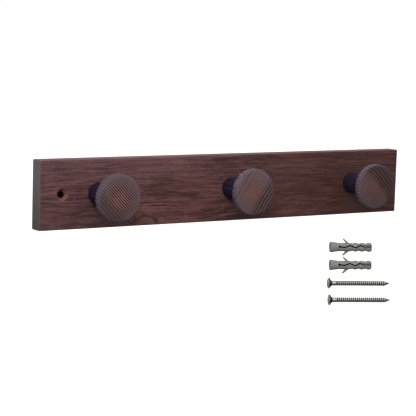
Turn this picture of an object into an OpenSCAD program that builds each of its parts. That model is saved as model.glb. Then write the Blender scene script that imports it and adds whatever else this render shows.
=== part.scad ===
// Wall coat rack: a plain board, turned mushroom pegs, and its loose wall plugs and screws.
// Millimetres. X runs along the board, +Z is up, the pegs point to -Y.
// The origin is the centre of the board's back face, which lies against the wall.

/* [Board] */
// Length of the board, along X
board_length = 450; // [400:5:600]
// Height of the board, along Z
board_height = 70; // [62:1:100]
// Thickness of the board, along Y
board_thickness = 16; // [14:0.5:22]
// Size of the eased edge all round
edge_ease = 0.8; // [0.3:0.1:1.5]
// Distance of each wall screw hole from the end of the board
hole_inset = 25; // [18:1:30]
// Diameter of the wall screw holes
hole_diameter = 6.5; // [6.2:0.1:7]
// Diameter of the wall screw countersinks, at the front face
countersink_diameter = 12.5; // [12.2:0.1:14]

/* [Pegs] */
// Distance between neighbouring pegs, centre to centre
peg_spacing = 160; // [130:1:175]
// How far a peg stands out from the board
peg_reach = 46; // [42:0.5:60]
// Diameter of the peg's stem at the board
stem_diameter = 22.5; // [18:0.5:28]
// Diameter of the peg's round head
head_diameter = 49; // [40:0.5:60]
// Length of the straight rim of the head
head_rim = 3.4; // [2:0.1:6]
// Radius of the head's front edge
head_round = 2.4; // [1:0.1:3]
// Height of the slight dome on the head's face
head_dome = 0.6; // [0.2:0.1:1]
// Length of the cylindrical part of the stem, before it flares out
stem_straight = 13; // [8:0.5:16]
// How late the flare opens out, 1 is a straight cone
flare_power = 2.6; // [1.5:0.1:4]

/* [Peg screws] */
// Thread diameter of the screw that holds each peg from behind
peg_screw_diameter = 4; // [3.5:0.1:4.2]
// Length of that screw
peg_screw_length = 35; // [30:1:40]
// Clearance hole for it in the board
peg_screw_hole = 4.5; // [4.4:0.1:5]
// Pilot hole for it in the stem
pilot_diameter = 3; // [2.5:0.1:3.2]
// Distance between its threads
peg_screw_pitch = 1.8; // [1.2:0.1:2.2]

/* [Wall screws] */
// Thread diameter of the wall screws
wall_screw_diameter = 6; // [5.5:0.1:6]
// Length of the wall screws, from the edge of the raised head to the tip
wall_screw_length = 70; // [60:1:80]
// Diameter of their heads
wall_screw_head = 12; // [10.8:0.1:12]
// Height of the raised, domed top of their heads
wall_screw_dome = 1.8; // [0.5:0.1:2.2]
// Distance between their threads
wall_screw_pitch = 2.2; // [2:0.1:3.6]

/* [Wall plugs] */
// Length of the wall plugs
plug_length = 47; // [46:1:60]
// Diameter of a plug's body over its teeth, which grip a 10 mm hole
plug_diameter = 10.4; // [9.6:0.1:10.6]
// Diameter of the flared mouth
plug_mouth = 12; // [10.8:0.1:12.5]
// Width across the two spring wings
wing_span = 19.2; // [14:0.1:19.4]
// Width of the zigzag slits
slit_width = 1.6; // [0.8:0.1:1.8]

/* [Where the loose fixings lie] */
// Left end of the row of loose fixings, along X
fixings_left = 142; // [0:1:150]
// How far the fixings' right ends are swung out from the wall, in degrees
fixings_turn = 25; // [0:1:35]
// Height of the upper plug's axis below the board's centreline
upper_plug_drop = 72.8; // [60:0.1:80]
// Distance from the upper plug down to the lower plug
plug_pitch = 20.3; // [20:0.1:30]
// Distance from the lower plug down to the upper screw
plug_to_screw = 20.5; // [20:0.1:40]
// Distance from the upper screw down to the lower screw
screw_pitch = 19; // [14:1:30]

/* [Hidden] */
$fn = 96;

walnut = "#4c3230";
stained_ash = "#3b3640";
nylon_grey = "#8f9090";
nickel = "#b9b4aa";
zinc = "#c3c1b8";

through = 1; // how far a cutter runs past the face it opens
stem_r = stem_diameter / 2;
head_r = head_diameter / 2;
hole_x = board_length / 2 - hole_inset;
back_ease = 0.6; // chamfer on the back corner of the head's rim
face_y = peg_reach - head_dome; // where the dome of the face begins
rim_front = face_y - head_round;
rim_back = rim_front - head_rim;
flare_end = rim_back - back_ease;
flare_steps = 14;
base_ease = 0.3; // chamfer where the stem meets the board
pilot_depth = peg_screw_length - board_thickness + 3;

tip_r = 0.25; // the blunt point of a screw
core_share = 0.35; // a screw's core radius, as a share of its thread diameter
shank_share = 0.43; // the radius of its smooth shank, the same way
tip_share = 1.35; // length of its tapered tip, as a share of its thread diameter
head_edge = 0.3; // straight edge of a peg screw's head
wall_head_edge = 0.7; // and of a wall screw's
peg_head_d = peg_screw_diameter * 2;
peg_head_top = 0.1; // the peg screws' heads are all but flat
peg_head_cone = peg_head_d / 2 - peg_screw_diameter * core_share;
peg_screw_shank = 8; // smooth stretch between head and thread
head_sink = 0.3; // the peg screws' heads sit this far below the back face
peg_sink_d = peg_head_d + 2 * (head_sink + peg_head_top + head_edge) + 0.3;
wall_head_cone = 3.6;
wall_screw_shank = 5;

plug_axis_y = -plug_mouth / 2;
screw_axis_y = -wall_screw_head / 2;
lower_plug_drop = upper_plug_drop + plug_pitch;
upper_screw_drop = lower_plug_drop + plug_to_screw;
lower_screw_drop = upper_screw_drop + screw_pitch;

// The fixings don't lie quite in line: how far right of the row's left end each one starts
upper_plug_shift = 0.4;
lower_plug_shift = 1;
upper_screw_shift = -1.6;
lower_screw_shift = 0;

// ---- outlines -------------------------------------------------------------

// A rectangle about the origin, with its corners cut by the edge ease
module eased_rectangle(w, h) {
    x = w / 2;
    y = h / 2;
    c = edge_ease;
    polygon([[-x + c, -y], [x - c, -y], [x, -y + c], [x, y - c],
             [x - c, y], [-x + c, y], [-x, y - c], [-x, -y + c]]);
}

// Radius of the peg at a share u of the way along its flare
function flare_radius(u) = stem_r + (head_r - back_ease - stem_r) * pow(u, flare_power);

// Half outline of a peg: [radius, distance from the board]
peg_outline = concat(
    [[0, 0], [stem_r - base_ease, 0], [stem_r, base_ease], [stem_r, stem_straight]],
    [for (i = [1:flare_steps])
        [flare_radius(i / flare_steps),
         stem_straight + (flare_end - stem_straight) * i / flare_steps]],
    [[head_r, rim_back]],
    [for (a = [0:15:90]) [head_r - head_round + head_round * cos(a), rim_front + head_round * sin(a)]],
    [for (k = [5:-1:0])
        let (r = (head_r - head_round) * k / 6)
        [r, peg_reach - head_dome * pow(r / (head_r - head_round), 2)]]
);

// Half outline of a wood screw: [radius, distance from the top of the head]
function screw_outline(d, length, head_d, edge, cone, dome, smooth, pitch) =
    let (core = d * core_share,
         shank = d * shank_share,
         neck = dome + cone,
         tip = length - d * tip_share,
         turns = floor((tip - neck - smooth) / pitch),
         start = tip - turns * pitch)
    concat(
        [for (a = [0:15:90]) [head_d / 2 * sin(a), dome * (1 - cos(a))]],
        [[head_d / 2, dome + edge], [shank, neck], [shank, start - pitch / 4]],
        [for (i = [0:turns - 1], side = [0, 1]) [side == 0 ? core : d / 2, start + pitch * (i + side / 2)]],
        [[core, tip], [tip_r, length - tip_r], [0, length]]
    );

// Half outline of a wall plug: [radius, distance from the mouth]
plug_r = plug_diameter / 2;
mouth_r = plug_mouth / 2;
neck_r = plug_r * 0.92;
taper_end = plug_length * 0.22; // where the flared mouth has come down to the neck
waves_from = plug_length * 0.534; // where the toothed half begins
wave_length = plug_length * 0.162;
wave_depth = 1;
wave_steps = 15; // points along the waves, six to each, which ends them on a crest
plug_outline = concat(
    [[0, 0], [mouth_r - 0.4, 0], [mouth_r, 0.5], [mouth_r, 1.2], [neck_r, taper_end], [neck_r, waves_from]],
    [for (i = [1:wave_steps])
        [plug_r - wave_depth / 2 * (1 + cos(i * 60)), waves_from + i * wave_length / 6]],
    [[plug_r - 0.1, plug_length - 1], [plug_r - 0.7, plug_length], [0, plug_length]]
);
bore_r = plug_r * 0.53; // the bore at the mouth
bore_length = plug_length * 0.17;
deep_bore_r = plug_r * 0.36; // the bore beyond it, which the screw spreads
deep_bore_end = plug_length * 0.86;
wing_width = 2.4;

// Centre line of a slit: [distance from the mouth, offset] as shares of the plug's length and radius
slit_line = [[0.215, 0.2], [0.34, 0.06], [0.467, 0.44], [0.595, 0.02], [0.722, 0.46], [0.79, 0.26]];
slit_floor = deep_bore_r + 0.4; // each slit stops this far from the axis, at a web that the screw tears
slot_width = slit_width * 1.8; // the broad, shallow slot from the end of a slit to the end of the plug
slot_floor = plug_r * 0.68;

// ---- shared pieces --------------------------------------------------------

// One turned peg on its own axis, standing on z = 0
module turned_peg() {
    difference() {
        rotate_extrude() polygon(peg_outline);
        translate([0, 0, -through]) cylinder(d = pilot_diameter, h = pilot_depth + through, $fn = 32);
        translate([0, 0, pilot_depth]) cylinder(d1 = pilot_diameter, d2 = 0, h = 1, $fn = 32);
    }
}

// A cross recess, sunk from z = 0
module cross_recess(size, depth) {
    for (turn = [0, 90]) rotate([0, 0, turn])
        translate([-size / 2, -size / 10, -through]) cube([size, size / 5, depth + through]);
    translate([0, 0, -through]) cylinder(d = size * 0.42, h = depth * 1.25 + through, $fn = 24);
}

// A wood screw with its head's top at z = 0 and its tip at z = length
module wood_screw(d, length, head_d, edge, cone, dome, smooth, pitch) {
    difference() {
        rotate_extrude($fn = 48) polygon(screw_outline(d, length, head_d, edge, cone, dome, smooth, pitch));
        cross_recess(head_d * 0.52, dome + cone * 0.55);
    }
}

// One blade of the plug's pair of spring wings, on the +Z side
module spring_wing() {
    root = neck_r - 0.6;
    rotate([90, 0, 0]) linear_extrude(height = wing_width, center = true)
        polygon([[plug_length * 0.385, root], [plug_length * 0.47, root],
                 [plug_length * 0.327, wing_span / 2], [plug_length * 0.298, wing_span / 2 - 0.5]]);
}

// The zigzag slit in the -Y side, the round hole it starts from and the slot it ends in
module slit_cutter() {
    last = slit_line[len(slit_line) - 1];
    shape = concat(
        [for (p = slit_line) [p[0] * plug_length, p[1] * plug_r + slit_width / 2]],
        [for (i = [len(slit_line) - 1:-1:0])
            [slit_line[i][0] * plug_length, slit_line[i][1] * plug_r - slit_width / 2]]
    );
    rotate([90, 0, 0]) {
        translate([0, 0, slit_floor]) linear_extrude(height = mouth_r) polygon(shape);
        translate([slit_line[0][0] * plug_length, 0, slit_floor])
            cylinder(d = slit_width * 1.7, h = mouth_r, $fn = 32);
        translate([last[0] * plug_length - slit_width / 2, last[1] * plug_r - slot_width / 2, slot_floor])
            cube([plug_length, slot_width, mouth_r]);
    }
}

// A wall plug along +X, with its mouth at x = 0
module wall_plug() {
    difference() {
        union() {
            rotate([0, 90, 0]) rotate_extrude($fn = 48) polygon(plug_outline);
            spring_wing();
            mirror([0, 0, 1]) spring_wing();
        }
        translate([-through, 0, 0]) rotate([0, 90, 0])
            cylinder(r = bore_r, h = bore_length + through, $fn = 32);
        rotate([0, 90, 0]) cylinder(r = deep_bore_r, h = deep_bore_end, $fn = 32);
        slit_cutter();
        mirror([0, 1, 0]) slit_cutter();
    }
}

// Puts a child, made along +Z, on a peg's axis with its start at depth y
module on_peg_axis(side, y) {
    translate([side * peg_spacing, y, 0]) rotate([90, 0, 0]) children();
}

module peg(side) {
    color(stained_ash) on_peg_axis(side, -board_thickness) turned_peg();
}

module peg_screw(side) {
    color(zinc) on_peg_axis(side, -head_sink)
        wood_screw(peg_screw_diameter, peg_screw_length, peg_head_d, head_edge, peg_head_cone, peg_head_top,
                   peg_screw_shank, peg_screw_pitch);
}

// Lays out a child, made along +X, with its left end this far below the board's centreline
module laid_out(shift, axis_y, drop) {
    translate([fixings_left + shift, axis_y, -drop]) rotate([0, 0, -fixings_turn]) children();
}

module loose_plug(shift, drop) {
    color(nylon_grey) laid_out(shift, plug_axis_y, drop) wall_plug();
}

module loose_screw(shift, drop) {
    color(nickel) laid_out(shift, screw_axis_y, drop) rotate([0, 90, 0])
        wood_screw(wall_screw_diameter, wall_screw_length + wall_screw_dome, wall_screw_head, wall_head_edge,
                   wall_head_cone, wall_screw_dome, wall_screw_shank, wall_screw_pitch);
}

// ---- the sub-parts --------------------------------------------------------

module board() {
    color(walnut) difference() {
        translate([0, -board_thickness / 2, 0]) intersection() {
            rotate([90, 0, 0]) linear_extrude(height = board_thickness, center = true)
                eased_rectangle(board_length, board_height);
            linear_extrude(height = board_height, center = true)
                eased_rectangle(board_length, board_thickness);
            rotate([90, 0, 90]) linear_extrude(height = board_length, center = true)
                eased_rectangle(board_thickness, board_height);
        }
        for (x = [-hole_x, hole_x]) translate([x, -board_thickness, 0]) rotate([-90, 0, 0]) {
            translate([0, 0, -through]) cylinder(d = hole_diameter, h = board_thickness + 2 * through);
            cylinder(d1 = countersink_diameter, d2 = hole_diameter,
                     h = (countersink_diameter - hole_diameter) / 2);
        }
        for (side = [-1, 0, 1]) on_peg_axis(side, 0) {
            translate([0, 0, -through])
                cylinder(d = peg_screw_hole, h = board_thickness + 2 * through, $fn = 48);
            cylinder(d1 = peg_sink_d, d2 = peg_screw_hole, h = (peg_sink_d - peg_screw_hole) / 2, $fn = 48);
        }
    }
}

module peg_left() peg(-1);
module peg_middle() peg(0);
module peg_right() peg(1);
module peg_screw_left() peg_screw(-1);
module peg_screw_middle() peg_screw(0);
module peg_screw_right() peg_screw(1);
module wall_plug_upper() loose_plug(upper_plug_shift, upper_plug_drop);
module wall_plug_lower() loose_plug(lower_plug_shift, lower_plug_drop);
module wall_screw_upper() loose_screw(upper_screw_shift, upper_screw_drop);
module wall_screw_lower() loose_screw(lower_screw_shift, lower_screw_drop);

board();
peg_left();
peg_middle();
peg_right();
peg_screw_left();
peg_screw_middle();
peg_screw_right();
wall_plug_upper();
wall_plug_lower();
wall_screw_upper();
wall_screw_lower();
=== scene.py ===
"""The looks of a wall coat rack: a walnut board, turned and brushed pegs, nylon plugs and wood screws."""
import math

import bpy
import numpy as np
from mathutils import Matrix, Vector


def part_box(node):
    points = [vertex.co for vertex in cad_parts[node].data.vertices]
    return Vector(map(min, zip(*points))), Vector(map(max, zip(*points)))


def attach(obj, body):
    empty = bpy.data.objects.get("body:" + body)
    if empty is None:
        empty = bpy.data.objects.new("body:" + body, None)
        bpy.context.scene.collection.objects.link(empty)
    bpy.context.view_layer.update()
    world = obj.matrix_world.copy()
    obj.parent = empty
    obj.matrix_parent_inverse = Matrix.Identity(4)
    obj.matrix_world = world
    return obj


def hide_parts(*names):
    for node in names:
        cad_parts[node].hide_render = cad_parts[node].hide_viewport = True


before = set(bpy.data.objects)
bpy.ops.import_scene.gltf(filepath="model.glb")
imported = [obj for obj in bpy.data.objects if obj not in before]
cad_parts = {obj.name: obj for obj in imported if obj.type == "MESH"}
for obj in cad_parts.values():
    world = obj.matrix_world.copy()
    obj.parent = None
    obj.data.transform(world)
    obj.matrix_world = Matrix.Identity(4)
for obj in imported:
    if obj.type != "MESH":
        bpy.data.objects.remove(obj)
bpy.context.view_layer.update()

MM = 0.001

# ---- the camera, as the photographer stood: angles in degrees, places in metres
VIEW_AZIMUTH = 33.14
VIEW_ELEVATION = 7.23
VIEW_ROLL = 1.74
VIEW_DISTANCE = 1.680
VIEW_AIM = Vector((-0.0175, 0.0, -0.0228))
LENS = 137.3

# ---- the pegs' outline: the stem as a share of the head, the rest in millimetres
STEM_SHARE = 22.5 / 49
STEM_STRAIGHT = 13.0
BASE_EASE = 0.3
HEAD_RIM = 3.4
HEAD_ROUND = 2.4
HEAD_DOME = 0.6
BACK_ROUND = 0.8
FLARE_POWER = 2.6
PEG_SEGMENTS = 384

# ---- the board's holes, in millimetres: radius of the countersink, radius of the bore, countersink's depth
WALL_HOLE_X = 200.0
WALL_HOLE = (6.25, 3.25, 3.0)
PEG_SCREW_HOLE = (4.85, 2.25, 2.6)

# ---- how each peg's growth rings run, in millimetres and degrees
# angle: the way the rings run across the face; radius: how strongly they curve; wave: how far they waver
# split and blend: where the near side gives way to the far side, and over what width
# spacings and strengths: of the rings, on the near side and the far side
# tones: brightness of the pale wood on the near side and on the far side, and what the middle adds to it
# pale_share: how much of each ring is pale wood; start: the first ring's phase
# bold: place and strength of single dark rings
PEG_GRAINS = {
    "peg_left": dict(angle=-46, radius=130, wave=0.35, split=-8.0, blend=2.0, spacings=(3.6, 2.2),
                     strengths=(0.50, 1.0), tones=(0.46, 1.22, 0.62), pale_share=0.15, start=0.2, bold=()),
    "peg_middle": dict(angle=-124, radius=-400, wave=0.2, split=7.6, blend=1.0, spacings=(2.0, 3.7),
                       strengths=(0.72, 1.0), tones=(0.97, 0.60, 0.0), pale_share=0.33, start=0.97,
                       bold=((-16.8, 0.75), (-11.6, 0.25))),
    "peg_right": dict(angle=-46, radius=70, wave=0.3, split=4.3, blend=1.5, spacings=(2.2, 3.8),
                      strengths=(0.80, 0.85), tones=(0.82, 0.34, -0.08), pale_share=0.32,
                      start=0.1, bold=()),
}
GROOVE_DEPTH = 0.28

# ---- how far the loose fixings' right ends are swung out from the board, in degrees
FIXINGS_TURN = 25.0


# ---- node graphs -----------------------------------------------------------

class Number:
    """A value in a node graph that adds and multiplies like a plain number."""

    def __init__(self, graph, socket):
        self.graph = graph
        self.socket = socket

    def __add__(self, other):
        return self.graph.math("ADD", self, other)

    def __sub__(self, other):
        return self.graph.math("SUBTRACT", self, other)

    def __rsub__(self, other):
        return self.graph.math("SUBTRACT", other, self)

    def __mul__(self, other):
        return self.graph.math("MULTIPLY", self, other)

    def __truediv__(self, other):
        return self.graph.math("DIVIDE", self, other)

    __radd__ = __add__
    __rmul__ = __mul__


class Arrays:
    """The functions that a formula needs, for arrays of points."""

    sqrt = staticmethod(np.sqrt)
    sin = staticmethod(np.sin)
    exp = staticmethod(np.exp)
    log = staticmethod(np.log)

    @staticmethod
    def fraction(value):
        return value - np.floor(value)

    @staticmethod
    def clip(value):
        return np.clip(value, 0, 1)

    @staticmethod
    def ramp(value, low, high):
        share = np.clip((value - low) / (high - low), 0, 1)
        return share * share * (3 - 2 * share)


class Graph:
    """A material's node graph. It has the same functions as Arrays, and short calls for the other nodes."""

    def __init__(self, name, owner=None):
        self.material = owner or bpy.data.materials.new(name)
        self.material.use_nodes = True
        self.nodes = self.material.node_tree.nodes
        self.links = self.material.node_tree.links
        self.nodes.clear()
        coordinates = self.nodes.new("ShaderNodeTexCoord")
        self.direction = coordinates.outputs["Generated"]
        place = self.vector("SCALE", coordinates.outputs["Object"], scale=1 / MM)
        self.x, self.y, self.z = self.split(place)
        self.normal_x, self.normal_y, self.normal_z = self.split(coordinates.outputs["Normal"])

    def feed(self, socket, value):
        """Links a value to a socket, or sets it there when it is a constant."""
        if isinstance(value, Number):
            value = value.socket
        if isinstance(value, bpy.types.NodeSocket):
            self.links.new(value, socket)
        elif isinstance(value, tuple) and len(value) == 3 and len(socket.default_value) == 4:
            socket.default_value = (*value, 1.0)
        else:
            socket.default_value = value

    def math(self, operation, *values, clamp=False):
        node = self.nodes.new("ShaderNodeMath")
        node.operation = operation
        node.use_clamp = clamp
        for socket, value in zip(node.inputs, values):
            self.feed(socket, value)
        return Number(self, node.outputs[0])

    def sqrt(self, value):
        return self.math("SQRT", value)

    def sin(self, value):
        return self.math("SINE", value)

    def exp(self, value):
        return self.math("EXPONENT", value)

    def log(self, value):
        return self.math("LOGARITHM", value, math.e)

    def fraction(self, value):
        return self.math("FRACT", value)

    def clip(self, value):
        return self.math("ADD", value, 0.0, clamp=True)

    def absolute(self, value):
        return self.math("ABSOLUTE", value)

    def ramp(self, value, low, high, start=0.0, end=1.0):
        """A smooth step from start to end as value goes from low to high."""
        node = self.nodes.new("ShaderNodeMapRange")
        node.interpolation_type = "SMOOTHSTEP"
        for socket, amount in zip(node.inputs, (value, low, high, start, end)):
            self.feed(socket, amount)
        return Number(self, node.outputs[0])

    def vector(self, operation, value, other=(0.0, 0.0, 0.0), scale=1.0):
        node = self.nodes.new("ShaderNodeVectorMath")
        node.operation = operation
        self.feed(node.inputs[0], value)
        if operation == "SCALE":
            node.inputs["Scale"].default_value = scale
        else:
            self.feed(node.inputs[1], other)
        return node.outputs[0]

    def split(self, vector):
        """A vector's x, y and z."""
        node = self.nodes.new("ShaderNodeSeparateXYZ")
        self.feed(node.inputs[0], vector)
        return [Number(self, output) for output in node.outputs]

    def point(self, x, y, z):
        """A vector, or a colour, of three values."""
        node = self.nodes.new("ShaderNodeCombineXYZ")
        for socket, value in zip(node.inputs, (x, y, z)):
            self.feed(socket, value)
        return node.outputs[0]

    def noise(self, x, y, z, detail=3.0, roughness=0.55):
        """Noise from 0 to 1, one feature for each unit of x, y and z."""
        node = self.nodes.new("ShaderNodeTexNoise")
        self.feed(node.inputs["Vector"], self.point(x, y, z))
        for name, value in (("Scale", 1.0), ("Detail", detail), ("Roughness", roughness)):
            node.inputs[name].default_value = value
        return Number(self, node.outputs["Fac"])

    def mix(self, share, first, second, blend="MIX"):
        """A colour between first and second, which is second alone when share is 1."""
        node = self.nodes.new("ShaderNodeMix")
        node.data_type = "RGBA"
        node.blend_type = blend
        node.clamp_factor = True
        self.feed(node.inputs[0], share)
        self.feed(node.inputs[6], first)
        self.feed(node.inputs[7], second)
        return node.outputs[2]

    def bump(self, height, depth_mm, strength=1.0):
        """A normal tilted by height, a value from 0 to 1 that stands for depth_mm."""
        node = self.nodes.new("ShaderNodeBump")
        self.feed(node.inputs["Height"], height)
        node.inputs["Distance"].default_value = depth_mm * MM
        node.inputs["Strength"].default_value = strength
        return node.outputs["Normal"]

    def finish(self, color, roughness, normal=None, **others):
        """Ends the graph in one Principled shader. Constants sit on its own sockets."""
        shader = self.nodes.new("ShaderNodeBsdfPrincipled")
        self.feed(shader.inputs["Base Color"], color)
        self.feed(shader.inputs["Roughness"], roughness)
        if normal is not None:
            self.feed(shader.inputs["Normal"], normal)
        for name, value in others.items():
            self.feed(shader.inputs[name.replace("_", " ")], value)
        output = self.nodes.new("ShaderNodeOutputMaterial")
        self.links.new(shader.outputs[0], output.inputs["Surface"])
        return self.material


# ---- grain, shared by the pegs' shape and their colour ----------------------

def ring_grain(tools, x, z, grain):
    """How deep in a ring's soft line a point is, and how far it is on the far side, both from 0 to 1.

    x and z are millimetres from the peg's axis. tools is Arrays or a Graph, so that the carved
    relief and the painted lines come from the same formula."""
    turn = math.radians(grain["angle"])
    along = x * math.cos(turn) + z * math.sin(turn)
    across = z * math.cos(turn) - x * math.sin(turn)
    bend = grain["radius"]
    side = 1.0 if bend > 0 else -1.0
    level = (tools.sqrt((across + bend) * (across + bend) + along * along) - abs(bend)) * side
    level = level + tools.sin(along * 0.21 + 1.3) * grain["wave"]
    level = level + tools.sin(along * 0.53) * (grain["wave"] / 3)
    far = 1.0 / grain["spacings"][1]
    near = 1.0 / grain["spacings"][0]
    soft = tools.exp((level - grain["split"]) / grain["blend"])
    phase = level * near + tools.log(soft + 1.0) * ((far - near) * grain["blend"]) + grain["start"]
    place = tools.fraction(phase)
    pale = grain["pale_share"]
    line = tools.ramp(place, pale, pale + 0.3) * (1.0 - tools.ramp(place, 0.84, 0.99))
    share = soft / (soft + 1.0)
    depth = line * (share * (grain["strengths"][1] - grain["strengths"][0]) + grain["strengths"][0])
    for place, strength in grain["bold"]:
        gap = level - place
        depth = depth + tools.exp(gap * gap * -3.0) * strength
    return tools.clip(depth), share


# ---- materials ---------------------------------------------------------------

def walnut():
    """Oiled dark walnut, flat sawn along X, with fine pores, a quiet figure and paler arrises."""
    g = Graph("walnut")
    low, high = (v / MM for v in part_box("board"))
    x, y, z = g.x, g.y, g.z

    # the growth rings, drifting round a pith outside the board and swelling over one small knot
    ring_spacing = 4.3
    pith_y, pith_z = 58.0, -52.0
    drift = g.noise(x * 0.0045, y * 0.012, z * 0.012, detail=2.0)
    sway = g.noise(x * 0.016 + 7.0, y * 0.05, z * 0.06, detail=2.0)
    across = g.sqrt((y - pith_y) * (y - pith_y) + (z - pith_z) * (z - pith_z))
    knot_x, knot_z = (x + 104.0) / 13.0, (z + 37.0) / 9.0
    knot = knot_x * knot_x + knot_z * knot_z
    level = across + (drift - 0.5) * 8.0 + (sway - 0.5) * 2.0 + g.exp(knot * -1.0) * 9.0
    place = g.fraction(level / ring_spacing)
    ring = g.ramp(place, 0.15, 0.8) * (1.0 - g.ramp(place, 0.86, 1.0))

    # how dark the wood is: rings, bands, fibres, streaks and flecks, all drawn out along the rings, with
    # painted shade to the right and at the lower left
    bands = g.noise(x * 0.011, level * 0.06, 3.0, detail=2.0)
    fibre = g.noise(x * 0.020, level * 0.90, y * 0.1, detail=5.0, roughness=0.75)
    streak = g.noise(x * 0.035 + 11.0, y * 1.7, level * 1.35, detail=3.0, roughness=0.65)
    fleck = g.noise(x * 0.25, y * 1.7 + 5.0, level * 1.2, detail=2.0)
    pore = g.ramp(g.noise(x * 0.07, y * 2.0, level * 1.7 + 9.0, detail=2.0, roughness=0.5), 0.57, 0.69)
    tone = ring * 0.12 + bands * 0.9 + fibre * 1.15 + streak * 2.2 + fleck * 0.6 - 1.975
    # painted shade: the plank darker towards its right end, away from the key light
    tone = tone + g.ramp(x, -40.0, 215.0) * 0.19
    # painted shade: darker at the lower left, lower down and away from the key light above
    tone = tone + g.ramp(z, 0.0, -30.0) * g.ramp(x, -100.0, -200.0) * 0.12
    arch = (g.sqrt(knot) - 1.25) * 7.0
    tone = tone + g.exp(arch * arch * -1.0) * 0.45

    # its colour, warmer low down, calmer in the right half and at the lower left, with painted sheen: lighter
    # on the top face, purplish at the upper left
    color = g.mix(g.ramp(tone, 0.1, 0.95), (0.180, 0.075, 0.071), (0.032, 0.0115, 0.0115))
    warm = g.noise(x * 0.013 + 2.0, y * 0.05, z * 0.06, detail=2.0) - z * 0.004
    warmth = g.ramp(warm, 0.40, 0.72) * g.ramp(x, -215.0, -110.0, 0.2, 0.6)
    color = g.mix(warmth, color, g.mix(0.65, color, (0.110, 0.036, 0.020)))
    color = g.mix(pore * 0.6, color, (0.016, 0.007, 0.008))
    color = g.mix(g.ramp(x, -20.0, 60.0) * 0.45, color, (0.074, 0.025, 0.018))
    lower_left = g.ramp(x, -110.0, -180.0) * g.ramp(z, 5.0, -15.0)
    color = g.mix(lower_left * 0.35, color, (0.080, 0.040, 0.044))
    # painted sheen: the top face lighter, where the light from above glances off it
    top = g.ramp(g.normal_z, 0.5, 0.9)
    color = g.mix(top * 0.75, color, (0.150, 0.078, 0.082))
    # painted sheen: a purplish haze at the upper left, where the key light glances off the oil
    painted_sheen_upper_left = g.ramp(z, -15.0, 30.0) * g.ramp(x, 70.0, -190.0)
    color = g.mix(painted_sheen_upper_left * 0.45, color, g.mix(0.55, color, (0.140, 0.068, 0.092)))

    # the grey end grain, with painted shade darkening its lower part
    end_grain = g.ramp(g.absolute(g.normal_x), 0.55, 0.8)
    end_color = g.mix(g.ramp(fibre, 0.3, 0.7), (0.120, 0.111, 0.116), (0.066, 0.060, 0.064))
    # painted shade: the end grain darker towards the bottom
    end_color = g.mix(g.ramp(z, 20.0, -30.0, 0.0, 0.68), end_color, (0.035, 0.031, 0.033))
    color = g.mix(end_grain, color, end_color)

    # the arrises, rubbed paler in places: the nearer a point is to two faces at once, the paler it is
    half = (high - low) * 0.5
    middle = (high + low) * 0.5
    rubbed = 0.0
    spots = g.noise(x * 0.09, y * 0.5, z * 0.5, detail=2.0)
    gaps = [half[i] - g.absolute(axis - middle[i]) for i, axis in enumerate((x, y, z))]
    for a, b in ((0, 1), (0, 2), (1, 2)):
        rubbed = g.ramp(gaps[a] + gaps[b], 1.9, 0.6) * g.ramp(spots, 0.35, 0.7) * 0.4 + rubbed
    color = g.mix(rubbed, color, (0.165, 0.092, 0.080))
    roughness = g.ramp(fibre, 0.3, 0.7, 0.44, 0.56) + pore * 0.15
    height = (1.0 - pore) * 0.6 + (1.0 - fibre) * 0.25 + (1.0 - ring) * 0.15
    # the top face's specular is turned down, as its painted sheen stands in for it
    return g.finish(color, roughness, g.bump(height, 0.22, 0.7), Specular_IOR_Level=0.4 - top * 0.34)


def drilled_walnut():
    """Raw walnut where a drill has cut it: paler and warmer in the countersinks, with painted shade on their
    side away from the lamp and near black painted shade in the bores.
    """
    g = Graph("drilled_walnut")
    hole_x = g.absolute(g.x) - WALL_HOLE_X
    hole = g.sqrt(hole_x * hole_x + g.z * g.z)
    fibre = g.noise(g.x * 0.1, g.y * 1.5, g.z * 1.5)
    raw = g.mix(g.ramp(fibre, 0.3, 0.7), (0.215, 0.105, 0.073), (0.100, 0.046, 0.032))
    shaded = g.ramp(hole_x * 0.8 + g.z * 0.6, 0.5, 5.0)  # the side that faces away from the lamp
    raw = g.mix(shaded * 0.85, raw, (0.020, 0.009, 0.007))
    _, bore, _ = WALL_HOLE
    # painted shade: the bore near black
    color = g.mix(g.ramp(hole, bore + 0.3, bore - 0.05), raw, (0.004, 0.002, 0.002))
    return g.finish(color, 0.9, g.bump(fibre, 0.1), Specular_IOR_Level=0.02)


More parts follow.
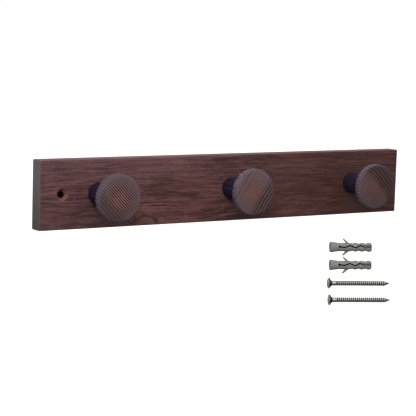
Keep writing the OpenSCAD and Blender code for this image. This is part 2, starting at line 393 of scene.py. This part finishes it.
def stained_wood(node):
    """Stained, wire-brushed wood, with its rings across the peg's face and its fibres along the stem."""
    g = Graph("stained_wood_" + node)
    low, high = (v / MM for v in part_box(node))
    x = g.x - (low.x + high.x) / 2
    z = g.z - (low.z + high.z) / 2
    y = g.y
    head = (high.x - low.x) / 2
    radius = g.sqrt(x * x + z * z)
    line, far = ring_grain(g, x, z, PEG_GRAINS[node])
    fibre = g.noise(x * 1.6, y * 0.05, z * 1.6, detail=4.0, roughness=0.6)
    specks = g.noise(x * 3.2, y * 0.3, z * 3.2 + 5.0, detail=2.0)
    cloud = g.noise(x * 0.07 + low.x, y * 0.05, z * 0.07, detail=2.0)

    # which part of the peg a point is on: the face, the rim or, else, the stem and its flare
    facing = g.normal_y * -1.0
    face = g.ramp(facing, 0.80, 0.97)
    rim = g.ramp(radius, head * 0.93, head * 0.985) * g.ramp(facing, -0.7, -0.1)
    rim = g.clip(rim + g.ramp(facing, 0.3, 0.6))

    # the face: pale wood that turns violet towards the rim, and dark lines, red in the middle
    middle = g.ramp(radius, head * 0.55, head * 0.1)
    near_tone, far_tone, middle_tone = PEG_GRAINS[node]["tones"]
    tone = far * (middle * middle_tone + far_tone - near_tone) + near_tone
    # painted shade: the face darker towards its bottom
    tone = tone * g.ramp(z, head * -1.1, head * 0.3, 0.78, 1.0)
    pale = g.mix(g.ramp(cloud, 0.35, 0.65), (0.262, 0.134, 0.106), (0.215, 0.118, 0.112))
    pale = g.mix(g.ramp(radius, head * 0.35, head * 0.98) * 0.75, pale, (0.168, 0.124, 0.156))
    pale = g.mix(1.0, pale, g.point(tone, tone, tone), "MULTIPLY")
    pale = g.mix(g.ramp(fibre, 0.35, 0.75) * 0.7, pale, (0.100, 0.060, 0.060))
    dark = g.mix(middle, (0.006, 0.002, 0.003), (0.045, 0.005, 0.005))
    fading = g.ramp(radius, head * 0.25, head * 0.75) * 0.26
    fading = fading + g.ramp(radius, head * 0.78, head * 0.97) * 0.25
    face_color = g.mix(line * (1.0 - fading), pale, dark)

    # the rim, painted pale lavender as a highlight where its rounded edge catches the light, and the darker
    # stem: a darker stain on the side grain, with painted shade under the head
    rim_highlight_color = g.mix(g.ramp(fibre, 0.3, 0.7), (0.140, 0.098, 0.125), (0.070, 0.047, 0.064))
    rim_highlight_color = g.mix(line * 0.6, rim_highlight_color, (0.012, 0.007, 0.011))
    stem_stain_and_shade = g.mix(g.ramp(fibre, 0.3, 0.72), (0.030, 0.0195, 0.048), (0.0075, 0.0048, 0.012))
    stem_stain_and_shade = g.mix(line * 0.7, stem_stain_and_shade, (0.002, 0.0015, 0.003))
    color = g.mix(face, g.mix(rim, stem_stain_and_shade, rim_highlight_color), face_color)
    roughness = g.ramp(specks, 0.3, 0.7, 0.55, 0.72)
    height = fibre * 0.5 + specks * 0.25 - line * 0.5
    return g.finish(color, roughness, g.bump(height, 0.12, 0.7), Specular_IOR_Level=0.15)


def steel(name, pale, dark, lie, thread_reach, neck):
    """Plated steel: satin, with fine turning lines and small scuffs. Painted shade darkens the thread's
    roots, less so at the tip, and the cone under the head as far as the neck."""
    g = Graph(name)
    x, y, z = lie.local(g)
    radius = g.sqrt(y * y + z * z)
    blotch = g.noise(x * 0.35, y * 0.35, z * 0.35, detail=3.0)
    lines = g.noise(x * 9.0, y * 0.6, z * 0.6, detail=2.0)
    scuff = g.ramp(g.noise(x * 1.2, y * 3.0, z * 3.0, detail=3.0), 0.56, 0.72)
    # painted shade in the thread's roots
    painted_root_shade = g.ramp(radius, thread_reach * 0.99, thread_reach * 0.89) * g.ramp(x, neck + 2.0, neck + 3.5)
    painted_root_shade = painted_root_shade * g.ramp(x, lie.length - 5.5, lie.length - 7.0, 0.7, 1.0)
    # painted shade on the cone under the head
    painted_shade_under_head = g.ramp(x, neck * 0.17, neck * 0.26) * g.ramp(x, neck * 1.02, neck * 0.90)
    painted_shade_under_head = painted_shade_under_head * g.ramp(z, -3.6, -2.0)
    color = g.mix(g.ramp(blotch, 0.3, 0.7), pale, tuple(0.8 * c for c in pale))
    color = g.mix(painted_root_shade * 0.95, color, dark)
    color = g.mix(painted_shade_under_head * 0.95, color, tuple(0.35 * c for c in dark))
    roughness = g.ramp(lines, 0.3, 0.7, 0.26, 0.38) + scuff * 0.15
    height = lines * 0.5 - scuff * 0.5
    return g.finish(color, roughness, g.bump(height, 0.02, 0.6), Metallic=1.0)


def nylon(name, lie, tone=1.0):
    """Grey moulded nylon: matt and slightly waxy, with flow marks, a fine pitted skin and painted shade at
    the edges that turn away. tone darkens it, for the painted shade in slits and slots.
    """
    g = Graph(name)
    x, y, z = lie.local(g)
    pits = g.noise(x * 2.6, y * 2.6, z * 2.6, detail=3.0)
    flow = g.noise(x * 0.12, y * 0.8, z * 0.8, detail=2.0)
    pale = tuple(tone * c for c in (0.275, 0.275, 0.270))
    grey = tuple(tone * c for c in (0.220, 0.220, 0.216))
    color = g.mix(g.ramp(flow, 0.3, 0.7), pale, grey)
    color = g.mix(g.ramp(pits, 0.55, 0.8) * 0.4, color, tuple(0.5 * c for c in grey))
    # painted shade: darker where the surface turns away from the eye
    edge_shade_weight = g.nodes.new("ShaderNodeLayerWeight")
    edge_shade_weight.inputs["Blend"].default_value = 0.35
    edge = g.ramp(Number(g, edge_shade_weight.outputs["Facing"]), 0.3, 0.9)
    color = g.mix(edge * 0.45, color, tuple(0.4 * c for c in grey))
    roughness = g.ramp(pits, 0.3, 0.7, 0.46, 0.60)
    return g.finish(color, roughness, g.bump(pits, 0.05, 0.6), Specular_IOR_Level=0.35 * tone)


def floor_paint():
    """A plain, pale matt floor that glows a little, so that it stays light under the soft studio."""
    g = Graph("pale_floor")
    cloud = g.noise(g.x * 0.002, g.y * 0.002, g.z * 0.002)
    color = g.mix(cloud, (0.80, 0.80, 0.80), (0.84, 0.84, 0.84))
    return g.finish(color, 0.9, Emission_Color=(1.0, 1.0, 1.0, 1.0), Emission_Strength=0.5)


# ---- meshes ----------------------------------------------------------------

def piece_from(name, points, faces, material=None):
    """A smooth-shaded mesh object, linked into the scene."""
    mesh = bpy.data.meshes.new(name)
    mesh.from_pydata([tuple(p) for p in points], [], [tuple(f) for f in faces])
    mesh.update()
    mesh.polygons.foreach_set("use_smooth", [True] * len(mesh.polygons))
    piece = bpy.data.objects.new(name, mesh)
    bpy.context.scene.collection.objects.link(piece)
    if material is not None:
        mesh.materials.append(material)
    return piece


def skin(rows):
    """Points and faces of a closed skin over rows of points, ring after ring, with both ends closed."""
    count, around = rows.shape[:2]
    points = np.concatenate([rows.reshape(-1, 3), rows[0].mean(0)[None], rows[-1].mean(0)[None]])
    k = np.arange(around)
    after = (k + 1) % around
    faces = []
    for row in range(count - 1):
        here, there = row * around, (row + 1) * around
        faces.extend(np.stack([here + k, here + after, there + after, there + k], 1).tolist())
    first, last = count * around, count * around + 1
    faces.extend(np.stack([np.full(around, first), after, k], 1).tolist())
    end = (count - 1) * around
    faces.extend(np.stack([np.full(around, last), end + k, end + after], 1).tolist())
    return points, faces


def resample(outline, step):
    """Points at an even spacing of about step along an outline of (radius, depth) pairs."""
    outline = np.array(outline, float)
    lengths = np.concatenate([[0], np.cumsum(np.hypot(*np.diff(outline, axis=0).T))])
    even = np.linspace(0, lengths[-1], max(2, round(lengths[-1] / step) + 1))
    return np.stack([np.interp(even, lengths, outline[:, i]) for i in (0, 1)], 1)


def arc(centre, radius, start, end, steps):
    """Pairs along an arc, from the start to the end angle in degrees."""
    angles = np.radians(np.linspace(start, end, steps + 1))
    return [(centre[0] + radius * math.cos(a), centre[1] + radius * math.sin(a)) for a in angles]


def carve(piece, cutter, operation="DIFFERENCE", lining=0):
    """Applies a boolean of cutter to piece and deletes the cutter; lining is the new faces' material slot."""
    cutter.data.polygons.foreach_set("material_index", [lining] * len(cutter.data.polygons))
    modifier = piece.modifiers.new("cut", "BOOLEAN")
    modifier.operation = operation
    modifier.solver = "EXACT"
    modifier.object = cutter
    bpy.context.view_layer.update()
    cut = bpy.data.meshes.new_from_object(piece.evaluated_get(bpy.context.evaluated_depsgraph_get()))
    piece.modifiers.clear()
    piece.data = cut
    bpy.data.objects.remove(cutter)


def crease(piece, angle=35.0):
    """Smooth shading, with every edge sharper than the angle kept crisp."""
    mesh = piece.data
    mesh.polygons.foreach_set("use_smooth", [True] * len(mesh.polygons))
    mesh.set_sharp_from_angle(angle=math.radians(angle))
    weighted = piece.modifiers.new("even shading", "WEIGHTED_NORMAL")
    weighted.keep_sharp = True


def spun(name, outline, origin, axis, across, around, material=None, relief=None):
    """A turned solid. outline holds (radius, distance along axis) pairs in millimetres; relief(radius, depth,
    angles) gives how far each point is pushed along its own normal."""
    outline = np.array(outline, float)
    axis, across = np.array(axis, float), np.array(across, float)
    third = np.cross(axis, across)
    angles = np.linspace(0, 2 * np.pi, around, endpoint=False)
    radius = np.repeat(outline[:, :1], around, 1)
    depth = np.repeat(outline[:, 1:], around, 1)
    if relief is not None:
        slope = np.gradient(outline, axis=0)
        slope /= np.linalg.norm(slope, axis=1)[:, None]
        push = relief(radius, depth, angles)
        radius = radius + slope[:, 1:] * push
        depth = depth - slope[:, :1] * push
    outward = np.cos(angles)[:, None] * across + np.sin(angles)[:, None] * third
    rows = np.array(origin) + MM * (depth[..., None] * axis + radius[..., None] * outward)
    return piece_from(name, *skin(rows), material)


# ---- the board -----------------------------------------------------------------

def board_piece():
    """The plank: a lofted bar whose hand-eased arrises vary a little, drilled and countersunk."""
    low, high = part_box("board")
    length, thick, tall = (high - low) / MM
    stations = np.linspace(-length / 2, length / 2, 90)
    corner_steps = 5
    end_ease = 0.8
    end_shares = (0, 0.3, 0.6, 0.85, 1)
    rows = []

    def section(x, inset, ease):
        corners = []
        for i, (side_y, side_z) in enumerate(((1, 1), (-1, 1), (-1, -1), (1, -1))):
            centre = (side_y * (thick / 2 - inset - ease), side_z * (tall / 2 - inset - ease))
            corners += arc(centre, ease, 90 * i, 90 * i + 90, corner_steps)
        return [(x, y, z) for y, z in corners]

    def ease_at(x):
        """The arrises' radius, which a hand plane leaves a little uneven."""
        return 0.85 + 0.13 * math.sin(x * 0.045) + 0.08 * math.sin(x * 0.161 + 1.0)

    def rounded_end(side, shares):
        for share in shares:
            inset = end_ease * (1 - math.sin(share * math.pi / 2))
            step = end_ease * (1 - math.cos(share * math.pi / 2))
            rows.append(section(side * (length / 2 - step), inset, ease_at(side * length / 2)))

    rounded_end(-1, end_shares)
    for x in stations[1:-1]:
        rows.append(section(x, 0.0, ease_at(x)))
    rounded_end(1, reversed(end_shares))
    middle = np.array((low + high) / 2)
    piece = piece_from("board_plank", *skin(np.array(rows) * MM + middle), walnut())
    piece.data.materials.append(drilled_walnut())

    def drill(x, hole, start, way):
        sink, bore, depth = hole
        past, lip = 1.0, 0.01
        outline = [(sink + past, -lip - past), (sink, -lip), (bore, depth), (bore, thick + past)]
        cutter = spun("cutter", outline, (x * MM, start, middle[2]), (0, way, 0), (1, 0, 0), 64)
        carve(piece, cutter, lining=1)

    for x in (-WALL_HOLE_X, WALL_HOLE_X):
        drill(x, WALL_HOLE, low.y, 1)
    for node in PEG_GRAINS:
        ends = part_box(node)
        drill((ends[0].x + ends[1].x) / 2 / MM, PEG_SCREW_HOLE, high.y, -1)
    crease(piece, 28)
    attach(piece, "rack")
    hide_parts("board")


# ---- the pegs ------------------------------------------------------------------

def peg_outline(head, reach):
    """The turned outline, from the middle of the base to the middle of the face."""
    stem = head * STEM_SHARE
    face = reach - HEAD_DOME
    rim_front = face - HEAD_ROUND
    flare_end = rim_front - HEAD_RIM - BACK_ROUND
    flare_steps, crown_rings = 24, 76
    flare = [(stem + (head - BACK_ROUND - stem) * (i / flare_steps) ** FLARE_POWER,
              STEM_STRAIGHT + (flare_end - STEM_STRAIGHT) * i / flare_steps) for i in range(flare_steps + 1)]
    back = [(head - BACK_ROUND * (1 - math.sin(a)), flare_end + BACK_ROUND * (1 - math.cos(a)))
            for a in np.radians(np.linspace(15, 90, 6))]
    sides = resample([(stem - BASE_EASE, 0.0), (stem, BASE_EASE), (stem, STEM_STRAIGHT)], 1.0)
    sides = np.concatenate([sides, resample(flare, 0.7)[1:], back, [(head, rim_front)]])
    edge = arc((head - HEAD_ROUND, rim_front), HEAD_ROUND, 10, 90, 9)
    flat = head - HEAD_ROUND
    radii = np.linspace(flat, 0.15, crown_rings)[1:]
    crown = [(r, reach - HEAD_DOME * (r / flat) ** 2) for r in radii]
    return np.concatenate([sides, edge, crown])


def peg_piece(node):
    """One peg, with its brushed rings carved into the wood."""
    low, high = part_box(node)
    head = (high.x - low.x) / 2 / MM
    reach = (high.y - low.y) / MM
    grain = PEG_GRAINS[node]

    def relief(radius, depth, angles):
        """Grooves along the rings, shallower behind the face and none where the base meets the board."""
        line, _ = ring_grain(Arrays, radius * np.cos(angles), radius * np.sin(angles), grain)
        clear_of_board = np.clip((depth - 0.6) / 3.0, 0, 1)
        behind_face = np.clip((reach - HEAD_ROUND - depth) / 2.0, 0, 1)
        return -GROOVE_DEPTH * line * clear_of_board * (1 - 0.45 * behind_face)

    seat = ((low.x + high.x) / 2, high.y, (low.z + high.z) / 2)
    piece = spun(node + "_turned", peg_outline(head, reach), seat, (0, -1, 0), (1, 0, 0), PEG_SEGMENTS,
                 stained_wood(node), relief)
    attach(piece, "rack")
    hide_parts(node)


# ---- the loose fixings -----------------------------------------------------------

class Lie:
    """Where a straight fixing lies, read from its CAD node, and its own axes: x along it from its head or
    mouth, z up, both in millimetres."""

    def __init__(self, node, along):
        self.along = np.array(along, float)
        self.third = np.array((-self.along[1], self.along[0], 0.0))
        self.up = np.array((0.0, 0.0, 1.0))
        points = np.array([vertex.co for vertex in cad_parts[node].data.vertices], float) / MM
        axes = (self.along, self.third, self.up)
        lows = [(points @ axis).min() for axis in axes]
        highs = [(points @ axis).max() for axis in axes]
        middles = [(low + high) / 2 for low, high in zip(lows, highs)]
        self.start = lows[0] * self.along + middles[1] * self.third + middles[2] * self.up
        self.length, self.width, self.height = [high - low for low, high in zip(lows, highs)]

    def local(self, g):
        """A material's x, y and z on the fixing's own axes."""
        x, y, z = g.x - self.start[0], g.y - self.start[1], g.z - self.start[2]
        along = x * self.along[0] + y * self.along[1]
        across = x * self.third[0] + y * self.third[1]
        return along, across, z

    def place(self, piece):
        """Moves a piece's mesh from the fixing's own axes to where it lies."""
        turned = Matrix((self.along, self.third, self.up)).transposed().to_4x4()
        piece.data.transform(Matrix.Translation(Vector(self.start * MM)) @ turned)


X_AXIS, Y_AXIS = (1, 0, 0), (0, 1, 0)

# ---- the wall screws, in millimetres: the thread's radius and core, its pitch, and the neck under the cone
SCREW_SEGMENTS = 40
THREAD_R = 3.0
THREAD_CORE = 2.35
THREAD_PITCH = 2.3
SCREW_NECK = 5.4


def screw_piece(node, body, lie, material, turn):
    """A wood screw with a raised countersunk head, a cross recess and a real helix down to its tip."""
    head, length = lie.height / 2, lie.length
    dome, edge, neck, shank = 1.8, 0.75, SCREW_NECK, 2.8
    thread_from, tip_from, tip_base = 9.8, length - 8.1, 2.65
    angles = np.linspace(0, 2 * np.pi, SCREW_SEGMENTS, endpoint=False)

    # the head: a low dome, a thin edge and the cone under it, as pairs of radius and depth
    top = [(head * math.sin(a), dome * (1 - math.cos(a))) for a in np.radians(np.linspace(3, 90, 12))]
    top += [(head, dome + edge)]
    top += [(shank + (head - 0.15 - shank) * (1 - s) ** 1.35, dome + edge + (neck - dome - edge) * s)
            for s in np.linspace(0.02, 1, 14)]

    # the shank and the thread: rows along the screw, whose radius is pushed out where the helix passes
    rows_a_turn, tip_end, thread_depth = 13, 0.3, THREAD_R - THREAD_CORE
    depths = np.arange(neck + 0.3, length - 0.05, THREAD_PITCH / rows_a_turn)
    body_r = np.interp(depths, [neck, thread_from - 0.6, thread_from + 0.4, tip_from, tip_from + 1.2, length],
                       [shank, shank, THREAD_CORE, THREAD_CORE, tip_base, tip_end])
    crest = np.interp(depths, [thread_from - 1.0, thread_from + 1.0, tip_from, tip_from + 1.2, length],
                      [0.0, thread_depth, thread_depth, THREAD_R - tip_base, 0.0])
    place = Arrays.fraction((depths[:, None] - thread_from) / THREAD_PITCH - angles[None] / (2 * np.pi))
    blade = np.clip((1 - np.abs(place - 0.5) * 2.9) * 1.6, 0, 1)
    radius = np.concatenate([np.repeat(np.array(top)[:, :1], SCREW_SEGMENTS, 1),
                             body_r[:, None] + crest[:, None] * blade])
    depth = np.concatenate([np.array(top)[:, 1], depths])
    around = np.stack([np.zeros_like(angles), np.cos(angles), np.sin(angles)], 1)
    rows = MM * (depth[:, None, None] * np.array(X_AXIS) + radius[..., None] * around)
    piece = piece_from(node + "_threaded", *skin(rows), material)

    # the cross recess, whose arms narrow towards its floor
    arm, width = head * 0.5, head * 0.095
    mouth, floor = (-1.0, 1.2), (3.2, 0.62)  # depth, and width as a share
    for spin in (turn, turn + 90):
        s = math.radians(spin)
        side, face = np.array((0, math.cos(s), math.sin(s))), np.array((0, -math.sin(s), math.cos(s)))
        rows = [[MM * (np.array((d, 0, 0)) + side * arm * a * w + face * width * b * w)
                 for a, b in ((1, 1), (-1, 1), (-1, -1), (1, -1))] for d, w in (mouth, floor)]
        carve(piece, piece_from("cutter", *skin(np.array(rows))))
    lie.place(piece)
    crease(piece, 40)
    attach(piece, body)
    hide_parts(node)


# a plug's slit: distance from the mouth and offset, as shares of the plug's length and radius
SLIT = ((0.215, 0.2), (0.34, 0.06), (0.467, 0.44), (0.595, 0.02), (0.722, 0.46), (0.79, 0.26))


def plug_piece(node, body, lie, material, *shaded_copies):
    """A nylon wall plug: ribbed, flared mouth, toothed far half, zigzag slits and two spring wings."""
    length, mouth, span = lie.length, lie.width / 2, lie.height / 2
    body_r, neck = 5.2, 4.78
    collar, taper = 1.2, length * 0.22
    waves_from, wave_length, wave_depth = length * 0.534, length * 0.162, 1.0

    # the outline, as pairs of radius and depth: collar, taper, plain part, rounded teeth and blunt end
    outline = [(mouth - 0.5, 0.0), (mouth - 0.12, 0.15), (mouth, 0.5), (mouth, collar)]
    outline += [(neck + (mouth - neck) * (1 - s) ** 1.2, collar + (taper - collar) * s)
                for s in np.linspace(0.1, 1, 10)]
    outline += [(neck, waves_from - 1.0)]
    outline += [(body_r - wave_depth / 2 * (1 + math.cos((d - waves_from) / wave_length * 2 * math.pi)), d)
                for d in np.linspace(waves_from, waves_from + wave_length * 2.5, 46)]
    outline += [(body_r - 0.15, length - 1.2), (body_r - 0.4, length - 0.4), (body_r - 0.8, length)]

    def ribs(radius, depth, angles):
        """Shallow furrows between the ribs of the flared mouth."""
        flared = np.clip(1 - np.abs(depth - taper * 0.55) / (taper * 0.42), 0, 1)
        return -0.16 * flared ** 0.5 * (0.5 + 0.5 * np.cos(angles * 20))

    piece = spun(node + "_moulded", resample(outline, 0.4), (0, 0, 0), X_AXIS, Y_AXIS, 120, material, ribs)
    for lining in shaded_copies:
        piece.data.materials.append(lining)

    # the spring wings above and below: distance from the mouth and from the plug's axis
    wing_half = 1.2
    for up in (1, -1):
        wing = [(length * 0.385, neck - 0.7), (length * 0.47, neck - 0.7), (length * 0.438, 5.4),
                (length * 0.327, span), (length * 0.298, span - 0.5), (length * 0.355, 6.0)]
        rows = [[(p[0], w, up * p[1]) for p in wing] for w in (wing_half * up, -wing_half * up)]
        carve(piece, slab("wing", MM * np.array(rows)), "UNION")

    # the stepped bore
    bore_r, chamfer, pilot_r, past = 2.65, 0.2, 1.8, 1.0
    bore = [(bore_r + chamfer, -past), (bore_r + chamfer, 0.0), (bore_r, 2 * chamfer)]
    bore += [(bore_r, length * 0.17), (pilot_r, length * 0.18), (pilot_r, length * 0.86)]
    carve(piece, spun("cutter", bore, (0, 0, 0), X_AXIS, Y_AXIS, 40))

    # front and back, a zigzag slit that starts in a round eye and ends in an open slot
    slit_half, slit_floor, slot_half, slot_floor = 0.8, 2.25, 1.4, 3.6
    middle = [(a * length, b * body_r) for a, b in SLIT]
    slit = [(a, b + slit_half) for a, b in middle] + [(a, b - slit_half) for a, b in reversed(middle)]
    eye = arc(middle[0], slit_half * 1.7, 0, 345, 23)
    end, level = middle[-1]
    slot = [(end - 0.5, level + slot_half), (length + past, level + slot_half),
            (length + past, level - slot_half), (end - 0.5, level - slot_half)]
    for side in (-1, 1):
        # lining 1, the near black nylon, is painted shade in the slit and its eye; lining 2, the darker
        # nylon, is painted shade in the slot
        for edge, floor, way, lining in ((slit, slit_floor, 1, 1), (eye, slit_floor - 0.05, -1, 1),
                                         (slot, slot_floor, 1, 2)):
            inner, outer = side * floor, side * (mouth + past)
            walls = (inner, outer) if side * way > 0 else (outer, inner)
            rows = [[(a, w, b) for a, b in edge] for w in walls]
            carve(piece, slab("cutter", MM * np.array(rows)), lining=lining)
    lie.place(piece)
    crease(piece, 40)
    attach(piece, body)
    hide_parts(node)


def slab(name, rows):
    """A flat plate between two outlines, each closed by one face."""
    count = rows.shape[1]
    k = np.arange(count)
    faces = np.stack([k, (k + 1) % count, (k + 1) % count + count, k + count], 1).tolist()
    faces += [k[::-1].tolist(), (k + count).tolist()]
    return piece_from(name, rows.reshape(-1, 3), faces)


# ---- the studio --------------------------------------------------------------------

def studio():
    """White all round to the eye; to surfaces, a bright ceiling, a dimmer horizon and one soft key light."""
    scene = bpy.context.scene
    scene.view_settings.view_transform = "Standard"
    world = bpy.data.worlds.new("studio")
    scene.world = world
    g = Graph("studio", world)
    east, _, up = g.split(g.direction)
    # bright above, dim below, a little brighter on the left and along the horizon
    glow = g.ramp(up, -0.2, 0.9, 0.10, 1.15)
    glow = glow + g.ramp(east, 0.1, -0.9, 0.0, 0.30) + g.ramp(up, 0.5, 0.0) * g.ramp(up, -0.2, 0.0) * 0.1
    eye = g.nodes.new("ShaderNodeLightPath").outputs["Is Camera Ray"]
    shade = g.mix(eye, g.point(glow, glow, glow), (1.02, 1.02, 1.02))
    background = g.nodes.new("ShaderNodeBackground")
    g.links.new(shade, background.inputs["Color"])
    output = g.nodes.new("ShaderNodeOutputWorld")
    g.links.new(background.outputs[0], output.inputs["Surface"])

    floor_half, drop = 14.0, 0.9
    corners = [(x * floor_half, y * floor_half, -drop) for x, y in ((-1, -1), (1, -1), (1, 1), (-1, 1))]
    floor = piece_from("floor", corners, [(0, 1, 2, 3)], floor_paint())
    floor.visible_diffuse = False
    floor.visible_glossy = False

    lamp = bpy.data.lights.new("key", "AREA")
    lamp.shape = "DISK"
    lamp.size = 0.6
    lamp.energy = 10.0
    key = bpy.data.objects.new("key", lamp)
    scene.collection.objects.link(key)
    key.location = (-0.75, -0.95, 0.75)
    key.rotation_euler = (Vector((-0.12, 0.0, 0.0)) - key.location).to_track_quat("-Z", "Y").to_euler()


def camera():
    """The photographer's view, rolled a little to one side."""
    azimuth, elevation, roll = (math.radians(a) for a in (VIEW_AZIMUTH, VIEW_ELEVATION, VIEW_ROLL))
    forward = Vector((math.sin(azimuth) * math.cos(elevation), math.cos(azimuth) * math.cos(elevation),
                      -math.sin(elevation)))
    right = Vector((math.cos(azimuth), -math.sin(azimuth), 0.0))
    up = right.cross(forward)
    turned_right = right * math.cos(roll) + up * math.sin(roll)
    turned_up = up * math.cos(roll) - right * math.sin(roll)
    data = bpy.data.cameras.new("camera")
    data.lens = LENS
    data.clip_end = 60.0
    eye = bpy.data.objects.new("camera", data)
    bpy.context.scene.collection.objects.link(eye)
    eye.matrix_world = (Matrix.Translation(VIEW_AIM - forward * VIEW_DISTANCE)
                        @ Matrix((turned_right, turned_up, -forward)).transposed().to_4x4())
    bpy.context.scene.camera = eye


# ---- everything --------------------------------------------------------------------

board_piece()
for node in PEG_GRAINS:
    peg_piece(node)
swing = math.radians(FIXINGS_TURN)
laid = (math.cos(swing), -math.sin(swing), 0.0)
for which, turn in (("upper", 17), ("lower", 62)):
    screw_lie = Lie("wall_screw_" + which, laid)
    nickel = steel("nickel_steel_" + which, (0.76, 0.72, 0.64), (0.055, 0.049, 0.040), screw_lie, THREAD_R,
                   SCREW_NECK)
    screw_piece("wall_screw_" + which, "screw_" + which, screw_lie, nickel, turn)
    plug_lie = Lie("wall_plug_" + which, laid)
    # the slit and slot nylons are dark copies: painted shade inside the plug's cuts
    plug_piece("wall_plug_" + which, "plug_" + which, plug_lie, nylon("grey_nylon_" + which, plug_lie),
               nylon("slit_nylon_" + which, plug_lie, 0.03), nylon("slot_nylon_" + which, plug_lie, 0.40))
for node in ("peg_screw_left", "peg_screw_middle", "peg_screw_right"):
    thread_r, neck = 2.0, 3.0
    outward = Lie(node, (0.0, -1.0, 0.0))
    zinc = steel("zinc_" + node, (0.56, 0.56, 0.54), (0.2, 0.2, 0.19), outward, thread_r, neck)
    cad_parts[node].data.materials[0] = zinc
studio()
camera()
